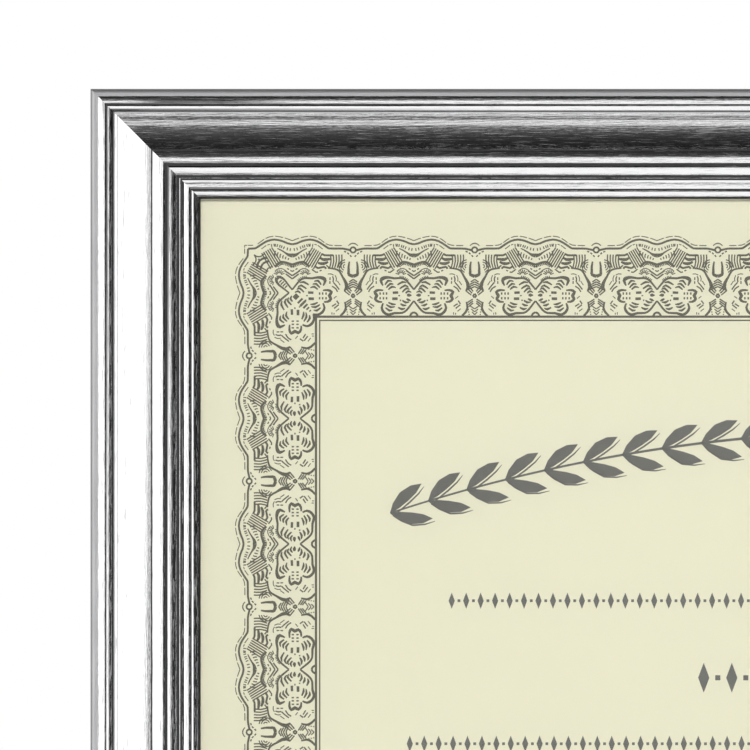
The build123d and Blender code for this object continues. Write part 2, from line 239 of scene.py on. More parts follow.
def mix_colours(tree, factor, first, second):
    return put(tree, "Mix", {0: factor, 6: first, 7: second}, data_type="RGBA").outputs[2]


def set_colour(tree, shader, factor, first, second):
    tree.links.new(mix_colours(tree, factor, first, second), shader.inputs["Base Color"])


def set_roughness(tree, shader, value, steps):
    tree.links.new(ramp(tree, value, *steps), shader.inputs["Roughness"])


def add_object(name, data):
    """A scene object for a mesh, a lamp or a camera."""
    item = bpy.data.objects.new(name, data)
    bpy.context.scene.collection.objects.link(item)
    return item


def tube_faces(count, rings, base=0):
    """Faces of a closed tube, its sides and then its ends; each ring has count vertices, from base on."""
    end = base + count * (rings - 1)
    sides = [(start + i, start + (i + 1) % count, start + count + (i + 1) % count, start + count + i)
             for start in range(base, end, count) for i in range(count)]
    return sides + [tuple(range(base, base + count))[::-1], tuple(range(end, end + count))]


def new_piece(name, vertices, faces, body, slot, materials, replaced=()):
    """A mesh piece drawn upright, leaned into place, that rides on a body."""
    mesh = bpy.data.meshes.new(name)
    mesh.from_pydata([STAND @ Vector(v) for v in vertices], [], faces)
    for material in materials:
        mesh.materials.append(material)
    piece = add_object(name, mesh)
    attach(piece, body)
    if replaced:
        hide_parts(*replaced)
    return piece


# Materials: a surface that varies has a pair of colours. A noise has a scale, or one for each axis with the
# first along the rail, then its detail and its roughness.

SILVER = (0.95, 0.95, 0.955, 1)
NOISE_MIDDLE = (0.3, 0.7)  # most of a noise lies between these
FOIL_LAYERS = [
    ((35, 260, 1), 1.0, 0.5, 0.05 * MM),  # slow waves: noise and height
    ((160, 3600, 1), 3.0, 0.6, 0.045 * MM),  # grain of the wood
    ((330, 4800, 1), 2.0, 0.5, 0.03 * MM),  # flecks
]
FOIL_STREAKS = ((200, 3900, 1), 2.0, 0.6)
STREAK_ROUGHNESS = (0.52, 0.66, 0.08, 0.5)

# Painted shade on the foil, darker towards the corners, by the distance from the middle of a rail: ramps
# from a start to an end and from one share to another, which are multiplied.
PAINTED_SHADE_COLOUR = (0.05, 0.05, 0.05, 1)
PAINTED_SHADE_RAMPS = {
    "corner_shaded": [(0, 0.11, 0, 0.9)],
    "shaded": [(0.06, 0.15, 0, 0.75)],
    "band_shaded": [(0.112, 0.13, 0, 0.85), (0.14, 0.149, 1, 0)],
}

# Rubbed finishes: name, metallic share, scales of the noise, roughness where it is low and high, colours
RUBBED = {
    "satin": ("satin_silver", 0.8, (60, 1800, 1), (0.54, 0.46),
              (0.56, 0.56, 0.57, 1), (0.66, 0.66, 0.67, 1)),
    # near-black in the grooves, the creases and on the sight edge
    "toned": ("darkened_groove", 0.5, (220, 3600, 1), (0.6, 0.42),
              (0.03, 0.03, 0.03, 1), (0.065, 0.065, 0.067, 1)),
}
RUBBED_DETAIL = (3.0, 0.6)
RUBBED_RELIEF = 0.4  # of the foil's height
WOOD_FIBRES = ((25, 900, 1), 6.0, 0.6)
WOOD_RELIEF = 0.05 * MM
WOOD_COLOURS = ((0.4, 0.26, 0.135, 1), (0.68, 0.52, 0.33, 1))

# Sheets: constants of the shader, noise, relief and colours
SHEETS = {
    "cream_paper": ({"Roughness": 0.85, "Specular IOR Level": 0.2}, (900.0, 5.0, 0.65), 0.01 * MM,
                    (0.805, 0.776, 0.6, 1), (0.845, 0.811, 0.63, 1)),
    "grey_card": ({"Roughness": 0.9}, (1500.0, 5.0, 0.7), 0.04 * MM,
                  (0.32, 0.3, 0.28, 1), (0.5, 0.48, 0.45, 1)),
}
INK_MOTTLE = (1200.0, 3.0, 0.6)
INK_SHADES = (0.8, 1.25)
BORDER_INK = (0.093, 0.085, 0.055)
ORNAMENT_INK = (0.12, 0.116, 0.105)
GLASS_COLOUR = (0.985, 0.99, 0.985, 1)

# Hardboard: paper facing on the broad sides, bare fibres on the cut edges
FACING_COLOURS = ((0.018, 0.018, 0.02, 1), (0.045, 0.045, 0.047, 1))
FACING_WEAR = (60.0, 4.0, 0.6)
FACING_ROUGHNESS = (0.2, 0.8, 0.4, 0.62)
FACING_RELIEF = 0.2 * MM
FIBRE_COLOURS = ((0.1, 0.055, 0.03, 1), (0.24, 0.15, 0.09, 1))
FIBRES = (2600.0, 4.0, 0.6)
FIBRE_SHARE = 0.4  # of the relief
CUT_EDGE = (0.5, 0.6)  # how far a surface faces front or back, from edge to broad side

# Steel: colour and roughness
STEELS = {
    "plated_steel": ((0.62, 0.63, 0.64), 0.32),
    "fastener_steel": ((0.72, 0.71, 0.69), 0.22),
}
STEEL_MOTTLE = (300.0, 3.0, 0.6)
STEEL_SHADES = (0.82, 1)
STEEL_LINES = (90, 2600, 2600)
STEEL_RELIEF = 0.004 * MM

# Direction, scale and distortion of the ribbon's ribs and threads
RIBBON_WEAVE = (("X", 900.0, 0.6), ("Y", 1400.0, 0.4))
WEAVE_RELIEF = 0.03 * MM


def foil_height(tree, along):
    """Height of the foil in metres."""
    layers = [math_node(tree, "MULTIPLY", grain(tree, along, *layer), height)
              for *layer, height in FOIL_LAYERS]
    return math_node(tree, "ADD", *layers)


def foil_material(name, ramps=()):
    """Bright silver foil with streaks along the rail, and painted shade on it where there are ramps."""
    material, tree, shader = surface_material(name, {"Base Color": SILVER, "Metallic": 1.0})
    along = put(tree, "UVMap").outputs[0]
    bump(tree, shader, foil_height(tree, along), 1.0)
    set_roughness(tree, shader, grain(tree, along, *FOIL_STREAKS), STREAK_ROUGHNESS)
    if ramps:
        # The first coordinate is the number of the rail and the distance from its middle, added up
        place = put(tree, "SeparateXYZ", {0: along}).outputs[0]
        share = math_node(tree, "FRACT", math_node(tree, "ADD", place, 0.5), 0)
        from_middle = math_node(tree, "ABSOLUTE", math_node(tree, "SUBTRACT", share, 0.5), 0)
        # Share of painted shade, more of it towards the corners
        left = math_node(tree, "MULTIPLY", 1.0, *(ramp(tree, from_middle, *steps) for steps in ramps))
        set_colour(tree, shader, left, SILVER, PAINTED_SHADE_COLOUR)
    return material


def rubbed_material(name, metallic, scales, roughness, *colours):
    """Dull silver, or the near-black finish of the grooves, creases and sight edge, rubbed along the rail."""
    material, tree, shader = surface_material(name, {"Metallic": metallic})
    along = put(tree, "UVMap").outputs[0]
    rubbed = grain(tree, along, scales, *RUBBED_DETAIL)
    set_colour(tree, shader, rubbed, *colours)
    set_roughness(tree, shader, rubbed, NOISE_MIDDLE + roughness)
    bump(tree, shader, foil_height(tree, along), 1.0, RUBBED_RELIEF)
    return material


def raw_wood_material():
    """Pale planed wood of the rail's back."""
    material, tree, shader = surface_material("raw_wood", {"Roughness": 0.75})
    fibres = grain(tree, put(tree, "UVMap").outputs[0], *WOOD_FIBRES)
    set_colour(tree, shader, ramp(tree, fibres, *NOISE_MIDDLE, 0, 1), *WOOD_COLOURS)
    bump(tree, shader, fibres, WOOD_RELIEF)
    return material


def glass_material():
    """Clear pane that shows only its surface reflection."""
    material, tree, output = new_material("clear_glass")
    clear = put(tree, "BsdfTransparent", {"Color": GLASS_COLOUR})
    gloss = put(tree, "BsdfGlossy", {"Color": (1, 1, 1, 1), "Roughness": 0.02})
    edge = put(tree, "Fresnel", {"IOR": 1.45}).outputs[0]
    mix = put(tree, "MixShader", {0: edge, 1: clear.outputs[0], 2: gloss.outputs[0]})
    tree.links.new(mix.outputs[0], output.inputs["Surface"])
    return material


def sheet_material(name, constants, texture, relief, *colours):
    """Paper, card or ink with a fine mottle."""
    material, tree, shader = surface_material(name, constants)
    mottle = noise(tree, put(tree, "TexCoord").outputs["Object"], *texture)
    set_colour(tree, shader, mottle, *colours)
    if relief:
        bump(tree, shader, mottle, relief)
    return material


def shades(colour, shares):
    """A colour made darker or lighter by shares."""
    return [tuple(share * channel for channel in colour) + (1,) for share in shares]


def ink_material(name, colour):
    """Printing ink, a little uneven."""
    constants = {"Roughness": 0.7, "Specular IOR Level": 0.25}
    return sheet_material(name, constants, INK_MOTTLE, 0, *shades(colour, INK_SHADES))


def black_board_material(name, facing):
    """Hardboard in black grained paper, with brown fibres bare on the cut edges."""
    material, tree, shader = surface_material(name, {"Specular IOR Level": 0.4})
    coordinates = put(tree, "TexCoord").outputs
    place = coordinates["Object"]
    pebbles = put(tree, "TexVoronoi", {"Vector": place, "Scale": 800.0}, feature="SMOOTH_F1")
    fine = noise(tree, place, *FIBRES)
    worn = noise(tree, place, *FACING_WEAR)
    across = math_node(tree, "ABSOLUTE", component(tree, coordinates["Normal"], facing), 0)
    set_colour(tree, shader, ramp(tree, across, *CUT_EDGE, 0, 1), mix_colours(tree, fine, *FIBRE_COLOURS),
               mix_colours(tree, worn, *FACING_COLOURS))
    set_roughness(tree, shader, fine, FACING_ROUGHNESS)
    fibres = math_node(tree, "MULTIPLY", fine, FIBRE_SHARE)
    bump(tree, shader, math_node(tree, "ADD", pebbles.outputs["Distance"], fibres), FACING_RELIEF)
    return material


def steel_material(name, colour, roughness):
    """Plated steel with faint mottling and drawing lines."""
    material, tree, shader = surface_material(name, {"Metallic": 1.0})
    place = put(tree, "TexCoord").outputs["Object"]
    mottle = noise(tree, place, *STEEL_MOTTLE)
    set_colour(tree, shader, mottle, *shades(colour, STEEL_SHADES))
    set_roughness(tree, shader, mottle, (*NOISE_MIDDLE, 0.8 * roughness, 1.25 * roughness))
    bump(tree, shader, grain(tree, place, STEEL_LINES), STEEL_RELIEF)
    return material


def ribbon_material():
    """Black satin ribbon with a fine weave and a soft sheen."""
    material, tree, shader = surface_material("black_satin", {
        "Base Color": (0.02, 0.02, 0.022, 1), "Roughness": 0.45,
        "Sheen Weight": 0.4, "Sheen Roughness": 0.4, "Sheen Tint": (0.5, 0.5, 0.52, 1)})
    along = put(tree, "UVMap").outputs[0]
    weave = [put(tree, "TexWave", {"Vector": along, "Scale": scale, "Distortion": distortion},
                 bands_direction=direction).outputs["Fac"] for direction, scale, distortion in RIBBON_WEAVE]
    bump(tree, shader, math_node(tree, "ADD", *weave), WEAVE_RELIEF)
    return material


# Rails

def step_points(start, width, first_slope, last_slope):
    """Points after start on one step: a straight line, or an arc that turns from slope to slope."""
    first, last = radians(first_slope), radians(last_slope)
    if first == last:
        return [(start[0] + width, start[1] + width * tan(first))]
    radius = width / (sin(last) - sin(first))
    divisions = ceil(abs(last_slope - first_slope) / DEGREES_PER_DIVISION)
    slopes = [first + (last - first) * i / divisions for i in range(1, divisions + 1)]
    return [(start[0] + radius * (sin(slope) - sin(first)), start[1] + radius * (cos(first) - cos(slope)))
            for slope in slopes]


def moulding_outline():
    """Section of a rail: points (across, up), and the finishes of the side after each and of both ends."""
    other_steps = STEPS_OUTSIDE_COVE + STEPS_INSIDE_COVE
    cove_width = FACE_WIDTH / MM - sum(step[1] for step in other_steps)
    steps = STEPS_OUTSIDE_COVE + [("foil", cove_width, *COVE_SLOPES)] + STEPS_INSIDE_COVE
    face = [(0, 0)]
    finishes = []
    for finish, width, first_slope, last_slope in steps:
        added = step_points(face[-1], width, first_slope, last_slope)
        face += added
        finishes += [finish] * len(added)
    crest = -upright_box("bottom_rail")[0].y
    wall = crest - max(up for _, up in face) * MM
    outline = [(0, BACK_RECESS)] + [(across * MM, wall + up * MM) for across, up in face]
    rabbet = -glass_low.y
    back_width = (frame_height - paper_high.z + paper_low.z) / 2 - RABBET_PLAY
    outline += [(FACE_WIDTH, rabbet), (back_width, rabbet), (back_width, BACK_RECESS)]
    return outline, ["satin"] + finishes + ["foil"] + ["wood"] * 5


def rail_piece(side, quarter, length, reach, materials):
    """One mitred rail, drawn along the bottom and turned by quarters to its side."""
    outline, finishes = moulding_outline()
    count = len(outline)
    turn = Matrix.Translation((0, 0, frame_height / 2)) @ Matrix.Rotation(quarter * pi / 2, 4, "Y")
    turn = turn @ Matrix.Translation((0, 0, -reach / 2))
    vertices = [turn @ Vector((end * (length / 2 - across), -up, across))
                for end in (-1, 1) for across, up in outline]
    piece = new_piece(f"{side}_rail_moulding", vertices, tube_faces(count, 2), "frame", "silver_moulding",
                      materials.values(), [f"{side}_rail"])
    mesh = piece.data
    mesh.shade_smooth()
    girth = [0]
    for first, second in zip(outline, outline[1:] + outline[:1]):
        girth.append(girth[-1] + dist(first, second))
    uv = mesh.uv_layers.new(name="UVMap")
    for polygon in mesh.polygons:
        polygon.material_index = list(materials).index(finishes[polygon.index])
        for loop in polygon.loop_indices:
            vertex = mesh.loops[loop].vertex_index
            place = vertex % count
            wraps = polygon.index == count - 1 and place == 0
            end = -1 if vertex < count else 1
            along = end * (length / 2 - outline[place][0]) + quarter
            uv.data[loop].uv = (along, girth[count] if wraps else girth[place])
    mesh.set_sharp_from_angle(angle=CREASE_ANGLE)


def build_rails():
    """The four rails, which share their finishes."""
    materials = {"foil": foil_material("silver_foil")}
    for finish, ramps in PAINTED_SHADE_RAMPS.items():
        materials[finish] = foil_material(f"{finish}_foil", ramps)
    for finish, values in RUBBED.items():
        materials[finish] = rubbed_material(*values)
    materials["wood"] = raw_wood_material()
    sizes = ((frame_width, frame_height), (frame_height, frame_width))
    for quarter, side in enumerate(("bottom", "left", "top", "right")):
        rail_piece(side, quarter, *sizes[quarter % 2], materials)


# Glass

PANE_GAP = 0.06 * MM  # between the pane and the paper, where the print lies
PANE_SEAM = 0.3 * MM  # ground edge of the pane


def build_glass():
    """Flat pane with ground edges."""
    front, back = glass_low.y, glass_high.y - PANE_GAP
    rims = ((back, PANE_SEAM), (back - PANE_SEAM, 0), (front + PANE_SEAM, 0), (front, PANE_SEAM))
    vertices = []
    for depth, inset in rims:
        left, right = glass_low.x + inset, glass_high.x - inset
        low, high = glass_low.z + inset, glass_high.z - inset
        vertices += [(left, depth, low), (right, depth, low), (right, depth, high), (left, depth, high)]
    faces = tube_faces(4, len(rims))
    new_piece("glass_pane", vertices, faces, "frame", "clear_glass", [glass_material()], ["glazing"])


# Printed border

INK_HEIGHT = 0.03 * MM  # of the print in front of the paper
INK_ROOT = 0.01 * MM  # of the print below the paper's surface
INK_SPREAD = 1.3  # the ink runs a little beyond its stroke
CURVE_DIVISIONS = 2

# Places and lengths on the paper from here on are in millimetres. A stroke is drawn by its distance along
# the side from the middle of a repeat and by its distance in from the border's outer edge.
BORDER_SIDE_INSET = 11.97
BORDER_TOP_INSET = 12.42
REPEATS = (10, 7)  # on a long and on a short side
HALF_REPEAT = 11.8  # as drawn; it is stretched a little to fit the side
CORNER_MIDDLE = 11.7  # from the border's corner to the middle of its first repeat
FINE = 0.14
MEDIUM = 0.2
BOLD = 0.3
RULES = ((16.22, 0.33), (16.93, 0.2))  # depth and width


def line(points, *widths):
    """Stroke of straight pieces; its widths are spread evenly along it."""
    return points, widths


def curve(points, *widths):
    """Smooth stroke through points."""
    guides = [points[0]] + points + [points[-1]]
    smooth = [points[0]]
    for before, start, end, after in zip(guides, guides[1:], guides[2:], guides[3:]):
        for step in range(1, CURVE_DIVISIONS + 1):
            t = step / CURVE_DIVISIONS
            smooth.append(tuple(
                b + 0.5 * ((c - a) * t + (2 * a - 5 * b + 4 * c - d) * t ** 2
                           + (3 * b - a - 3 * c + d) * t ** 3)
                for a, b, c, d in zip(before, start, end, after)))
    return smooth, widths


def between(start, end, share):
    return start[0] + (end[0] - start[0]) * share, start[1] + (end[1] - start[1]) * share


def point_along(points, distance):
    """Point at a distance along a chain of points, and the direction there."""
    for start, end in zip(points, points[1:]):
        length = dist(start, end)
        if distance <= length or end is points[-1]:
            direction = ((end[0] - start[0]) / length, (end[1] - start[1]) / length)
            return between(start, end, min(1, distance / length)), direction
        distance -= length


def dashes(stroke, dash, gap):
    """A stroke broken into dashes."""
    points, widths = stroke
    total = sum(dist(start, end) for start, end in zip(points, points[1:]))
    count = max(1, round((total + gap) / (dash + gap)))
    pitch = (total + gap) / count
    return [line([point_along(points, i * pitch + share * (pitch - gap))[0] for share in (0, 0.5, 1)],
                 *widths) for i in range(count)]


def comb(stroke, first, last, spacing, near, far, width):
    """Short ticks square to a stroke, from near to far on its inner side."""
    ticks = []
    for i in range(int((last - first) / spacing) + 1):
        (along, depth), (right, down) = point_along(stroke[0], first + i * spacing)
        ticks.append(line([(along - down * reach, depth + right * reach) for reach in (near, far)], width))
    return ticks


def hatch(first_start, first_end, last_start, last_end, count, width, bow=0):
    """Evenly spaced strokes between a first and a last one, bowed sideways by a share of their length."""
    strokes = []
    for i in range(count):
        start = between(first_start, last_start, i / (count - 1))
        end = between(first_end, last_end, i / (count - 1))
        across, down = end[0] - start[0], end[1] - start[1]
        middle = between(start, end, 0.5)
        crown = (middle[0] + down * bow, middle[1] - across * bow)
        strokes.append(curve([start, crown, end], width) if bow else line([start, end], width))
    return strokes


def polar(middle, reach, angle):
    """Point at a distance from a middle, by its angle from the first axis."""
    return middle[0] + reach * cos(angle), middle[1] + reach * sin(angle)


def spread(first, last, count):
    """Angles at even steps between two that are in degrees."""
    return [radians(first + (last - first) * i / (count - 1)) for i in range(count)]


def fan(middle, near, far, first, last, count, width):
    """Ticks that spread from a middle, between two angles."""
    return [line([polar(middle, reach, angle) for reach in (near, far)], width)
            for angle in spread(first, last, count)]


def ring(middle, radius, width, first=90, last=-270, count=13):
    """Small circle, or an arc between two angles."""
    return line([polar(middle, radius, angle) for angle in spread(first, last, count)], width)


def dot(middle, width, height):
    """Short upright dash or round dot."""
    return line([(middle[0], middle[1] - height / 2), (middle[0], middle[1] + height / 2)], width)


SCALLOP = [(0, 2.4), (0.9, 2.22), (1.9, 1.8), (3.4, 1.5), (4.8, 1.8), (6.0, 2.5), (6.9, 3.1), (7.4, 3.2)]
SCALLOP_TO_BEAD = [(8.6, 3.22), (9.9, 3.24), (11.3, 3.55)]
SCALLOP_TO_CORNER = [(8.45, 3.25)]
HALO = [(0, 1.72), (1.4, 1.2), (3.25, 0.85), (4.6, 1.05), (5.6, 1.6), (6.6, 2.35)]
HALO_TO_BEAD = [(7.6, 2.62), (9.6, 2.65)]
HALO_DASH = (1.5, 0.35)
PETAL_EDGE = [(5.95, 13.65), (6.25, 14.5), (5.85, 15.35), (4.95, 15.85)]
BEAD = ((0, 3.48), 0.52, 0.27)


def crown_strokes(scallop_end, halo_end):
    """Half of a repeat's crown: scallop, halo, ticks, hatched flank, smile with its comb, wave and shell."""
    wave = curve([(3.3, 6.75), (2.7, 6.1), (2.0, 5.75), (1.1, 5.95), (0, 6.35)], 0.36, 0.3, 0.42)
    return [
        curve(SCALLOP + scallop_end, BOLD),
        *dashes(curve(HALO + halo_end, FINE), *HALO_DASH),
        *comb(curve(SCALLOP, BOLD), 0.22, 4.4, 0.5, 0.78, 1.32, 0.17),
        line([(4.3, 2.4), (4.75, 2.55)], FINE),
        line([(4.95, 2.6), (5.9, 3.3)], FINE),
        *hatch((5.85, 4.1), (4.1, 7.1), (3.95, 3.0), (2.2, 5.8), 6, 0.2),
        curve([(2.85, 3.2), (2.1, 3.55), (1.3, 4.05), (0.7, 4.42), (0, 4.55)], 0.16, 0.24, 0.62),
        *hatch((0.65, 5.05), (0.8, 5.4), (3.2, 3.65), (3.35, 4.7), 6, 0.18, 0.1),
        wave,
        *comb(wave, 0.5, 4.0, 0.34, -0.2, -0.55, 0.16),
        *fan((2.5, 8.3), 0.4, 1.1, -20, -160, 7, 0.15),
        curve([(1.2, 7.5), (1.75, 7.15), (2.5, 7.0), (3.3, 7.5)], FINE),
        line([(1.5, 7.42), (0, 8.4)], 0.22),
        line([(1.25, 8.05), (0, 9.0)], 0.22),
        *dashes(line([(1.0, 7.0), (0, 7.6)], 0.18), 0.4, 0.3),
    ]


def wing_strokes():
    """Between the crown and the bead: wavy ribbons, upright hatching and the outer lobe."""
    return [
        curve([(5.85, 4.25), (6.3, 4.5), (7.9, 4.5)], BOLD),
        curve([(5.45, 5.0), (5.95, 5.3), (6.7, 5.3), (7.4, 5.2)], 0.3, 0.46, 0.3),
        curve([(5.0, 5.95), (5.6, 6.1), (6.3, 6.05), (6.95, 5.75)], 0.3, 0.46, 0.3),
        curve([(4.5, 6.6), (5.0, 6.95), (6.2, 6.7), (6.5, 7.1)], BOLD),
        curve([(3.8, 7.15), (4.6, 7.75), (5.0, 7.65)], MEDIUM),
        line([(5.3, 7.5), (5.7, 7.35)], MEDIUM),
        line([(6.6, 6.4), (7.2, 6.9)], MEDIUM),
        *hatch((7.4, 4.4), (7.25, 6.9), (9.6, 4.35), (9.2, 6.9), 5, 0.2, 0.08),
        *(ring((10.25, 6.6), radius, 0.17, -90, -250, 5) for radius in (0.35, 0.8, 1.25)),
        curve([(6.9, 6.95), (8.2, 7.1), (9.1, 7.5), (9.75, 8.6), (10.4, 9.75), (10.5, 10.6), (10.1, 11.3)],
              0.22, 0.28, 0.3, 0.55, 0.25),
        curve([(10.2, 13.4), (10.4, 14.5), (10.05, 15.35), (9.35, 16.05)], 0.25, 0.36, 0.3),
        curve([(7.7, 10.4), (8.4, 10.85), (8.8, 11.5)], MEDIUM),
        curve([(7.95, 9.65), (8.5, 10.25), (9.1, 11.05)], MEDIUM),
        curve([(7.8, 8.5), (7.98, 9.0), (7.9, 9.6)], MEDIUM),
        curve([(6.9, 8.1), (7.5, 8.05), (8.0, 8.3)], FINE),
        curve([(8.3, 8.3), (8.55, 8.9), (8.5, 9.5)], FINE),
        line([(8.75, 9.4), (9.3, 10.2)], FINE),
        line([(8.05, 12.75), (8.6, 12.3)], FINE),
        line([(7.7, 14.25), (8.5, 13.75)], MEDIUM),
        line([(8.1, 14.65), (9.0, 13.95)], MEDIUM),
        line([(8.6, 13.15), (9.05, 13.8)], MEDIUM),
        line([(8.45, 15.2), (9.1, 14.7)], FINE),
        dot((7.7, 15.6), FINE, 0.45),
        dot((8.1, 15.65), FINE, 0.35),
        *dashes(line([(7.33, 8.7), (7.3, 9.95)], 0.18), 0.4, 0.2),
    ]


def petal_strokes():
    """Half of the palmette: the outlines of two petals and a lobe, their veins and the dots between."""
    petal = curve([(0, 11.05), (0.8, 10.05), (1.6, 9.2), (2.5, 8.85), (3.8, 8.9), (4.9, 8.72), (5.9, 8.85),
                   (6.4, 9.35), (6.0, 10.3)], 0.24, 0.3, 0.3, 0.34, 0.6, 0.2)
    lobe = curve([(5.95, 11.2), (6.9, 11.15), (7.6, 11.5), (7.2, 12.2), (7.5, 12.85), (6.9, 13.35),
                  (6.15, 13.4)], 0.22, 0.4, 0.5, 0.4, 0.22)
    veins = [
        [(0.5, 11.6), (1.1, 11.35), (1.6, 11.75)],
        [(0.85, 11.05), (1.45, 10.8), (2.25, 11.55)],
        [(1.05, 10.65), (1.7, 10.25), (2.75, 10.9)],
        [(1.45, 9.75), (2.2, 9.6), (3.2, 10.15)],
        [(3.5, 10.7), (4.25, 10.5), (4.95, 11.05)],
        [(3.95, 10.05), (4.6, 9.95), (5.35, 10.7)],
        [(4.25, 9.5), (5.0, 9.35), (5.6, 10.15)],
        [(3.5, 13.85), (4.15, 13.85), (4.95, 13.5)],
        [(3.65, 14.3), (4.5, 14.4), (5.35, 13.9)],
        [(4.15, 14.95), (4.75, 15.05), (5.5, 14.5)],
    ]
    return [
        petal,
        lobe,
        *comb(petal, 2.1, 3.6, 0.3, -0.15, -0.45, 0.16),
        *(curve(vein, FINE, 0.34, MEDIUM) for vein in veins),
        line([(3.05, 11.6), (4.1, 11.65)], 0.36),
        line([(3.15, 12.78), (4.2, 12.8)], 0.4),
        *(dot((along, depth), 0.22, 0.45) for along in (5.3, 5.9, 6.55) for depth in (11.8, 12.7)),
        dot((2.85, 12.2), 0.25, 0.25),
        dot((2.6, 13.1), 0.2, 0.3),
    ]


def palmette_foot():
    """Lower outline of the palmette with its inner veins, the lens at its heart and the arch below."""
    veins = [
        [(0.6, 13.2), (1.05, 13.0), (1.45, 12.8)],
        [(0.9, 13.4), (1.6, 13.5), (2.25, 13.1)],
        [(1.45, 14.05), (2.05, 14.05), (2.6, 13.75)],
        [(1.7, 14.6), (2.3, 14.8), (3.05, 14.45)],
    ]
    return [
        curve(PETAL_EDGE + [(3.8, 15.55), (2.3, 15.5), (1.45, 15.0), (0.7, 14.1), (0, 13.2)],
              0.24, 0.4, 0.4, 0.3, 0.3, 0.24),
        *(curve(vein, FINE, 0.36, MEDIUM) for vein in veins),
        line([(0.45, 12.15), (0.95, 12.1), (1.35, 12.1)], 0.15, 0.5, 0.3),
        curve([(0.75, 16.1), (0.45, 15.6), (0, 15.4)], BOLD),
    ]


def bead_strokes():
    """Half of the motif between two repeats, drawn outwards from the bead: loop, chevrons and diamonds."""
    return [
        curve([(0.9, 2.68), (0.5, 2.35), (0, 2.2)], FINE, MEDIUM),
        *dashes(curve([(1.75, 3.75), (1.1, 4.0), (0.3, 4.8)], MEDIUM), 0.35, 0.25),
        curve([(0.7, 5.7), (0.85, 6.6), (0.85, 7.6), (0.8, 8.2), (0, 8.5)], 0.22, 0.34, 0.42, 0.5),
        *hatch((0, 9.1), (0.75, 9.6), (0, 10.48), (1.2, 10.98), 4, 0.2),
        *hatch((0.3, 11.4), (1.0, 10.5), (0.65, 12.1), (1.7, 11.25), 3, 0.2),
        line([(0, 11.85), (0.3, 12.25), (0, 12.6)], 0.3),
        *hatch((0.35, 12.85), (1.35, 13.5), (0.3, 13.6), (1.15, 14.3), 3, 0.2),
        *hatch((0, 14.75), (0.8, 14.2), (0, 15.85), (0.5, 15.3), 3, 0.17),
        *dashes(line([(1.3, 14.3), (1.05, 15.9)], 0.16), 0.3, 0.22),
    ]


def corner_strokes():
    """Half of what fills a corner, up to its diagonal: an ear, a leaf and the heart of the flower."""
    ticks = [
        (9.45, 0.25, 0.2), (9.8, 0.3, 0.2), (10.15, 0.28, 0.2), (10.5, 0.22, 0.2), (12.4, 0.35, 0.7),
        (13.2, 0.45, 0.3), (13.7, 0.5, 0.36), (14.2, 0.4, 0.3), (14.65, 0.25, 0.25), (15.1, 0.15, 0.2),
    ]
    return [
        line([(2.6, 3.05), (2.6, 2.6)], FINE),
        line([(3.2, 2.6), (4.2, 2.6)], FINE),
        curve([(6.4, 4.15), (5.75, 4.7), (5.0, 4.75), (4.4, 4.4)], MEDIUM),
        curve([(6.9, 4.95), (6.0, 5.15), (5.5, 5.5), (5.2, 5.2)], 0.4, 0.3, 0.2),
        curve([(7.3, 5.6), (6.6, 5.8), (6.1, 6.1)], 0.3),
        curve([(7.9, 6.6), (7.3, 6.9), (7.0, 7.0)], MEDIUM),
        curve([(8.8, 8.8), (9.4, 8.65), (10.2, 9.2), (10.9, 10.1), (11.7, 11.1)], 0.6, 0.4, 0.3, 0.26, 0.22),
        *(line([(place, place), (place + reach, place - reach)], width) for place, reach, width in ticks),
    ]


def placed(strokes, turn, reach, middle, scale):
    """Strokes carried to a place along a side of the border, which is turned about the paper's middle."""
    return [([tuple(turn @ Vector((middle + scale * along, reach - depth)))
              for along, depth in points], widths) for points, widths in strokes]


def border(quarters):
    """Strokes of the border's sides at some quarter turns; the origin is the middle of the paper."""
    halves = ((paper_high.x - paper_low.x) / MM / 2 - BORDER_SIDE_INSET,
              (paper_high.z - paper_low.z) / MM / 2 - BORDER_TOP_INSET)
    half_repeat = crown_strokes(SCALLOP_TO_BEAD, HALO_TO_BEAD) + wing_strokes() + petal_strokes()
    towards_corner = crown_strokes(SCALLOP_TO_CORNER, [])
    corner_petal = [curve(PETAL_EDGE + [(4.0, 15.75)], 0.24, 0.4, 0.3)]
    strokes = []
    for quarter in quarters:
        half_length, reach = halves[quarter % 2], halves[1 - quarter % 2]
        side = (Matrix.Rotation(-quarter * pi / 2, 2), reach)
        repeats = REPEATS[quarter % 2]
        last = half_length - CORNER_MIDDLE
        pitch = 2 * last / repeats
        stretch = pitch / 2 / HALF_REPEAT
        for i in range(repeats + 1):
            middle = -last + i * pitch
            for way in (-1, 1):
                at_corner = way * (2 * i - repeats) == repeats
                if at_corner:
                    strokes += placed(towards_corner, *side, middle, way)
                    strokes += placed(corner_strokes(), *side, way * half_length, -way)
                else:
                    strokes += placed(half_repeat, *side, middle, way * stretch)
                    strokes += placed(bead_strokes(), *side, middle + way * pitch / 2, -way)
                if 0 < i < repeats:
                    strokes += placed(palmette_foot(), *side, middle, way * stretch)
                elif not at_corner:
                    strokes += placed(corner_petal, *side, middle, way * stretch)
        for i in range(repeats):
            strokes += placed([ring(*BEAD)], *side, -last + (i + 0.5) * pitch, 1)
        for depth, width in RULES:
            end = half_length - depth + width / 2
            strokes += placed([line([(-end, depth), (end, depth)], width)], *side, 0, 1)
    return strokes


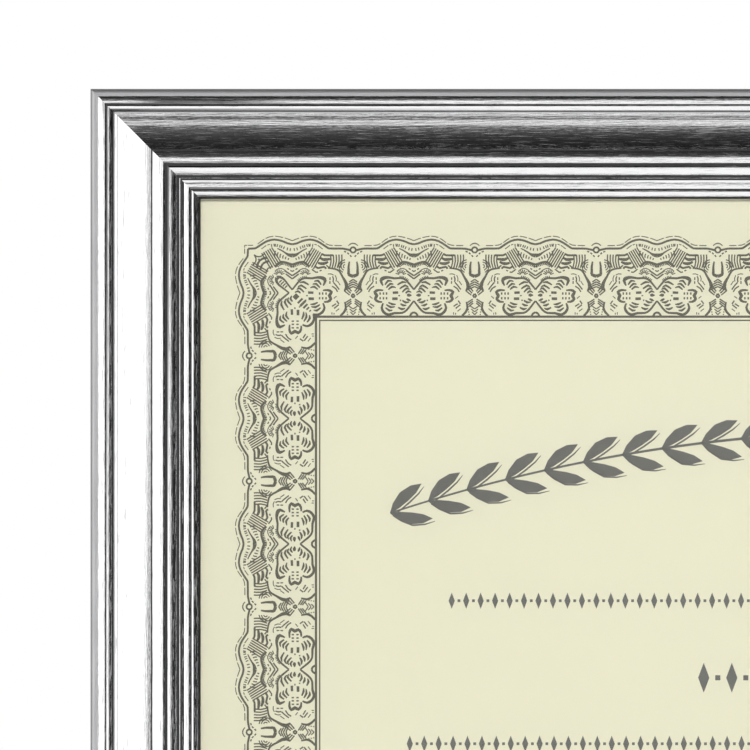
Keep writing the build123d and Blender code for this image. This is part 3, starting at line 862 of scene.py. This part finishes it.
def ink_mesh(strokes):
    """Vertices and faces of strokes as thin closed bars in front of the paper."""
    middle = (paper_low + paper_high) / 2
    front, root = paper_low.y - INK_HEIGHT, paper_low.y + INK_ROOT
    vertices = []
    faces = []
    for points, widths in strokes:
        count = len(points)
        faces += tube_faces(4, count, len(vertices))
        for i, (across, up) in enumerate(points):
            before, after = points[max(0, i - 1)], points[min(count - 1, i + 1)]
            run, rise = after[0] - before[0], after[1] - before[1]
            length = hypot(run, rise)
            place = i / (count - 1) * (len(widths) - 1)
            lower = int(place)
            upper = min(lower + 1, len(widths) - 1)
            half = (widths[lower] + (widths[upper] - widths[lower]) * (place - lower)) / 2 * INK_SPREAD
            vertices += [(middle.x + (across - way * rise / length * half) * MM, depth,
                          middle.z + (up + way * run / length * half) * MM)
                         for way, depth in ((1, front), (-1, front), (-1, root), (1, root))]
    return vertices, faces


# Ornaments inside the border

GARLAND_RADIUS = 310.0
GARLAND_CROWN = 57.5  # of the stem above the paper's middle
GARLAND_HALF_ANGLE = 18.3
LEAF_PAIRS = 13  # on each half
LEAF_LENGTH = 8.2
LEAF_SPREAD = 46.0  # between a leaf and the stem, in degrees
LEAF_BEND = 0.6  # back towards the stem, as a share of the spread
LEAF_WIDTHS = (0.1, 1.0, 1.7, 1.8, 1.2, 0.06)
STEM_WIDTHS = (0.25, 0.45)
STEM_PIECES = 4  # to each pair of leaves
SHADE_OFFSET = 0.5
SHADE_WIDTHS = (0.08, 0.26, 0.26, 0.08)
# Rows of lozenges: height above the paper's middle, half length, height of a lozenge
LOZENGE_ROWS = [(25.1, 85.6, 2.4), (10.4, 37.5, 4.4), (-2.2, 93.6, 2.4), (-14.0, 80.0, 2.4),
                (-26.0, 88.0, 2.4)]
LOZENGE_TIP = 0.06
# Shares of a lozenge's height: from one to the next, half its width, and the width and height of a dot
LOZENGE_PITCH = 1.15
LOZENGE_HALF_WIDTH = 0.24
DOT_SHARES = (0.17, 0.22)
SIGNING_RULES = [(-62.0, -62.0), (62.0, -62.0)]
SIGNING_HALF_LENGTH = 30.0
SIGNING_WIDTH = 0.3


def leaf(start, angle, bend):
    """One curved leaf from a place on the stem, with a thin shade line beside it."""
    middle_angle, tip_angle = angle + bend / 2, angle + bend
    middle = polar(start, LEAF_LENGTH / 2, middle_angle)
    points = curve([start, middle, polar(middle, LEAF_LENGTH / 2, tip_angle)])[0]
    side = middle_angle - pi / 2 if cos(middle_angle) > 0 else middle_angle + pi / 2
    shade = []
    for i, (across, up) in enumerate(points):
        reach = LEAF_WIDTHS[round(i / (len(points) - 1) * (len(LEAF_WIDTHS) - 1))] / 2
        shade.append(polar((across + SHADE_OFFSET, up - SHADE_OFFSET), reach, side))
    return [line(points, *LEAF_WIDTHS), line(shade, *SHADE_WIDTHS)]


def garland():
    """Arched garland of leaves that rises from both ends to its crown."""
    strokes = []
    middle = (0, GARLAND_CROWN - GARLAND_RADIUS)
    for way in (-1, 1):
        angles = spread(90 - way * GARLAND_HALF_ANGLE, 90, STEM_PIECES * LEAF_PAIRS + 1)
        stem = [polar(middle, GARLAND_RADIUS, angle) for angle in angles]
        strokes.append(line(stem, *STEM_WIDTHS))
        for start, following in zip(stem[::STEM_PIECES], stem[1::STEM_PIECES]):
            heading = atan2(following[1] - start[1], following[0] - start[0])
            for side in (-1, 1):
                away = side * radians(LEAF_SPREAD)
                strokes += leaf(start, heading + away, -LEAF_BEND * away)
    return strokes


def lozenge_row(level, half_length, height):
    """Row of lozenges with dots between them, centred on the paper."""
    count = round(half_length / (LOZENGE_PITCH * height))
    pitch = half_length / count
    strokes = []
    for i in range(-count, count + 1):
        points = [(i * pitch + way * LOZENGE_HALF_WIDTH * height, level) for way in (-1, 0, 1)]
        strokes.append(line(points, LOZENGE_TIP, height, LOZENGE_TIP))
        if i < count:
            strokes.append(dot(((i + 0.5) * pitch, level), *(share * height for share in DOT_SHARES)))
    return strokes


def ornaments():
    """Garland, rows of lozenges and two signing rules."""
    strokes = garland()
    for row in LOZENGE_ROWS:
        strokes += lozenge_row(*row)
    for across, level in SIGNING_RULES:
        ends = [(across + way * SIGNING_HALF_LENGTH, level) for way in (-1, 1)]
        strokes.append(line(ends, SIGNING_WIDTH))
    return strokes


def build_print():
    """The print on the certificate: the long and the short sides of its border, and the ornaments."""
    border_ink = ink_material("border_ink", BORDER_INK)
    ornament_ink = ink_material("ornament_ink", ORNAMENT_INK)
    for name, strokes, ink in (("printed_long_borders", border((0, 2)), border_ink),
                               ("printed_short_borders", border((1, 3)), border_ink),
                               ("printed_ornaments", ornaments(), ornament_ink)):
        new_piece(name, *ink_mesh(strokes), "frame", "cream_paper", [ink])


# Ribbon

RIBBON_WIDTH = 12.0 * MM
RIBBON_THICKNESS = 0.3 * MM
RIBBON_TAB = 10.0 * MM
RIBBON_BEND = 1.5 * MM
RIBBON_SAG = 0.6 * MM
BEND_DIVISIONS = 6
SPAN_DIVISIONS = 30
# Places across the ribbon, as shares of its half width, and half its thickness there, as a share
RIBBON_SECTION = [(1.0, 0.25), (0.985, 0.8), (0.95, 1.0), (0.85, 1.0), (0.5, 0.95), (0, 0.95)]


def ribbon_path(opening):
    """Middle line of the ribbon, as (back, up) from the board's tab to the tab on the opened leg."""
    low, high = upright_box("easel_ribbon")
    half = RIBBON_THICKNESS / 2
    leg_down = Vector((sin(opening), -cos(opening)))
    leg_end = Vector((high.y - half * cos(opening), low.z + half * sin(opening)))
    corners = [Vector((half, high.z)), Vector((half, high.z - RIBBON_TAB)),
               leg_end - RIBBON_TAB * leg_down, leg_end]
    bends = []
    for before, corner, after in zip(corners, corners[1:], corners[2:]):
        into, out = (corner - before).normalized(), (after - corner).normalized()
        setback = RIBBON_BEND * tan(into.angle(out) / 2)
        first, last = corner - setback * into, corner + setback * out
        shares = [i / BEND_DIVISIONS for i in range(BEND_DIVISIONS + 1)]
        bends.append([first.lerp(corner, t).lerp(corner.lerp(last, t), t) for t in shares])
    span = []
    for i in range(1, SPAN_DIVISIONS):
        share = i / SPAN_DIVISIONS
        sag = Vector((0, 4 * RIBBON_SAG * share * (1 - share)))
        span.append(bends[0][-1].lerp(bends[1][0], share) - sag)
    return corners[:1] + bends[0] + span + bends[1] + corners[-1:]


def build_ribbon():
    """Taut ribbon that stops the leg, stapled to the back board and to the leg."""
    path = ribbon_path(leg_opening)
    section = RIBBON_SECTION + [(-across, height) for across, height in RIBBON_SECTION[-2::-1]]
    section += [(across, -height) for across, height in reversed(section)]
    count = len(section)
    vertices = []
    lengths = [0]
    for i, place in enumerate(path):
        following = path[min(i + 1, len(path) - 1)]
        ahead = (following - path[max(i - 1, 0)]).normalized()
        for across, height in section:
            reach = height * RIBBON_THICKNESS / 2
            vertices.append((across * RIBBON_WIDTH / 2, place.x + reach * ahead.y, place.y - reach * ahead.x))
        lengths.append(lengths[-1] + (following - place).length)
    piece = new_piece("stay_ribbon", vertices, tube_faces(count, len(path)), "frame", "black_ribbon",
                      [ribbon_material()], ["easel_ribbon"])
    mesh = piece.data
    mesh.shade_smooth()
    uv = mesh.uv_layers.new(name="UVMap")
    for loop in mesh.loops:
        i, j = divmod(loop.vertex_index, count)
        uv.data[loop.index].uv = (lengths[i], section[j][0] * RIBBON_WIDTH / 2)
    hinge = STAND.inverted() @ Vector(joints["leg_fold"]["pos_m"])
    reach = path[-1] - hinge.yz
    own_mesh(piece)


def build_back():
    """Finishes of the pieces that stay as they are."""
    leg_normal = STAND.to_3x3() @ Vector((0, -cos(leg_opening), -sin(leg_opening)))
    finishes = {name: sheet_material(name, *values) for name, values in SHEETS.items()}
    finishes |= {name: steel_material(name, *values) for name, values in STEELS.items()}
    finishes["black_board"] = black_board_material("black_board_paper", face_normal)
    for node in frame["nodes"].values():
        for slot in node.material_slots:
            finish = slot.material.name.split(".")[0] if slot.material else None
            if finish in finishes:
                slot.material = finishes[finish]
    leg_board = black_board_material("black_leg_paper", leg_normal)
    frame["nodes"]["easel_leg"].material_slots[0].material = leg_board


# Floor, light and camera

def build_world():
    """White for the camera, an even faint light, and a panel and a room for the foil to mirror."""
    bpy.context.scene.view_settings.view_transform = "Standard"
    world = bpy.data.worlds.new("studio")
    bpy.context.scene.world = world
    world.use_nodes = True
    tree = world.node_tree
    tree.nodes.clear()
    direction = put(tree, "TexCoord").outputs["Generated"]
    axes = (face_up, Vector((1, 0, 0)), face_normal)
    up, right, front = (component(tree, direction, axis) for axis in axes)
    slant = math_node(tree, "MULTIPLY", ramp(tree, right, *SLANT_ACROSS, PANEL_SLANT, -PANEL_SLANT),
                      ramp(tree, up, *SLANT_FOOT, 0, 1), ramp(tree, right, *SLANT_LEFT_END, 0, 1))
    panel = math_node(tree, "MULTIPLY", ramp(tree, math_node(tree, "ADD", up, slant), *PANEL_TOP, 1, 0),
                      ramp(tree, right, *PANEL_RIGHT, 1, 0), ramp(tree, front, *BEHIND, BEHIND_LEVEL, 1),
                      ramp(tree, right, *LEFT_PART, LEFT_SHARE, 1), PANEL_LEVEL)
    clutter = ramp(tree, noise(tree, direction, CLUTTER_SCALE), *CLUTTER_STEPS)
    room = math_node(tree, "MULTIPLY", ramp(tree, up, *CEILING, 1, CEILING_SHARE),
                     ramp(tree, right, *RIGHT_PART, 1, RIGHT_SHARE), clutter, ROOM_LEVEL)
    mirrored = math_node(tree, "MAXIMUM", math_node(tree, "ADD", panel, room),
                         ramp(tree, front, *REAR, REAR_LEVEL, 0))
    path = put(tree, "LightPath").outputs
    light = put(tree, "Mix", {0: path["Is Glossy Ray"], 2: AMBIENT_LEVEL, 3: mirrored}).outputs[0]
    seen = put(tree, "Mix", {0: path["Is Camera Ray"], 2: light, 3: 1.0}).outputs[0]
    background = put(tree, "Background", {"Color": (1, 1, 1, 1), "Strength": seen})
    tree.links.new(background.outputs[0], put(tree, "OutputWorld").inputs["Surface"])


def build_floor():
    """Pale floor that takes the frame's shadow; in the foil it is a light that fades to the sides."""
    material, tree, output = new_material("pale_floor")
    place = put(tree, "NewGeometry").outputs["Position"]
    radius = put(tree, "VectorMath", {0: place}, operation="LENGTH").outputs["Value"]
    outward = put(tree, "VectorMath", {0: place}, operation="NORMALIZE").outputs[0]
    toward = component(tree, outward, (0, -1, 0))
    path = put(tree, "LightPath").outputs
    far_side = math_node(tree, "MULTIPLY", ramp(tree, radius, *FLOOR_RADII, 0, 1),
                         ramp(tree, toward, *BEHIND, FLOOR_BEHIND_LEVEL, 1))
    level = math_node(tree, "MAXIMUM", path["Is Camera Ray"], far_side,
                      ramp(tree, toward, *FLOOR_NEAR_SIDE, FLOOR_BEHIND_LEVEL, 1),
                      ramp(tree, toward, *REAR, REAR_LEVEL, 0))
    matte = put(tree, "BsdfDiffuse", {"Color": FLOOR_COLOUR})
    white = put(tree, "Emission", {"Color": (1, 1, 1, 1), "Strength": level})
    seen = math_node(tree, "MULTIPLY", path["Is Camera Ray"],
                     ramp(tree, radius, *FLOOR_RADII, FLOOR_NEAR_SHARE, 1))
    factor = math_node(tree, "MAXIMUM", seen, path["Is Glossy Ray"], path["Is Transmission Ray"])
    mix = put(tree, "MixShader", {0: factor, 1: matte.outputs[0], 2: white.outputs[0]})
    tree.links.new(mix.outputs[0], output.inputs["Surface"])
    mesh = bpy.data.meshes.new("floor")
    corners = [(-1, -1, 0), (1, -1, 0), (1, 1, 0), (-1, 1, 0)]
    mesh.from_pydata([FLOOR_HALF_SIZE * Vector(corner) for corner in corners], [], [(0, 1, 2, 3)])
    mesh.materials.append(material)
    floor = add_object("floor", mesh)


def build_lamp(name, place, target, size, power):
    """Soft square lamp that lights the surfaces and isn't mirrored in the foil."""
    data = bpy.data.lights.new(name, "AREA")
    data.size = size
    data.energy = power
    lamp = add_object(name, data)
    lamp.location = place
    lamp.rotation_euler = (Vector(target) - Vector(place)).to_track_quat("-Z", "Y").to_euler()
    lamp.visible_glossy = False


def build_camera():
    """Camera on the upper left corner, at the photo's scale."""
    middle = [(PHOTO_SIZE / 2 - pixel) / PIXELS_PER_MM * MM for pixel in OUTER_CORNER_PIXEL]
    aim_x = -frame_width / 2 + middle[0]
    aim_z = frame_height - middle[1]
    data = bpy.data.cameras.new("camera")
    data.sensor_width = SENSOR_WIDTH
    data.lens = SENSOR_WIDTH * CAMERA_DISTANCE / (PHOTO_SIZE / PIXELS_PER_MM * MM)
    data.clip_start = CLIP_START
    camera = add_object("camera", data)
    place = Matrix.Translation((aim_x, -FACE_LEVEL - CAMERA_DISTANCE, aim_z))
    camera.matrix_world = STAND @ place @ Matrix.Rotation(pi / 2, 4, "X")
    bpy.context.scene.camera = camera


build_camera()
build_world()
build_floor()
for name, lamp in LAMPS.items():
    build_lamp(name, *lamp)
build_rails()
build_glass()
build_print()
build_ribbon()
build_back()
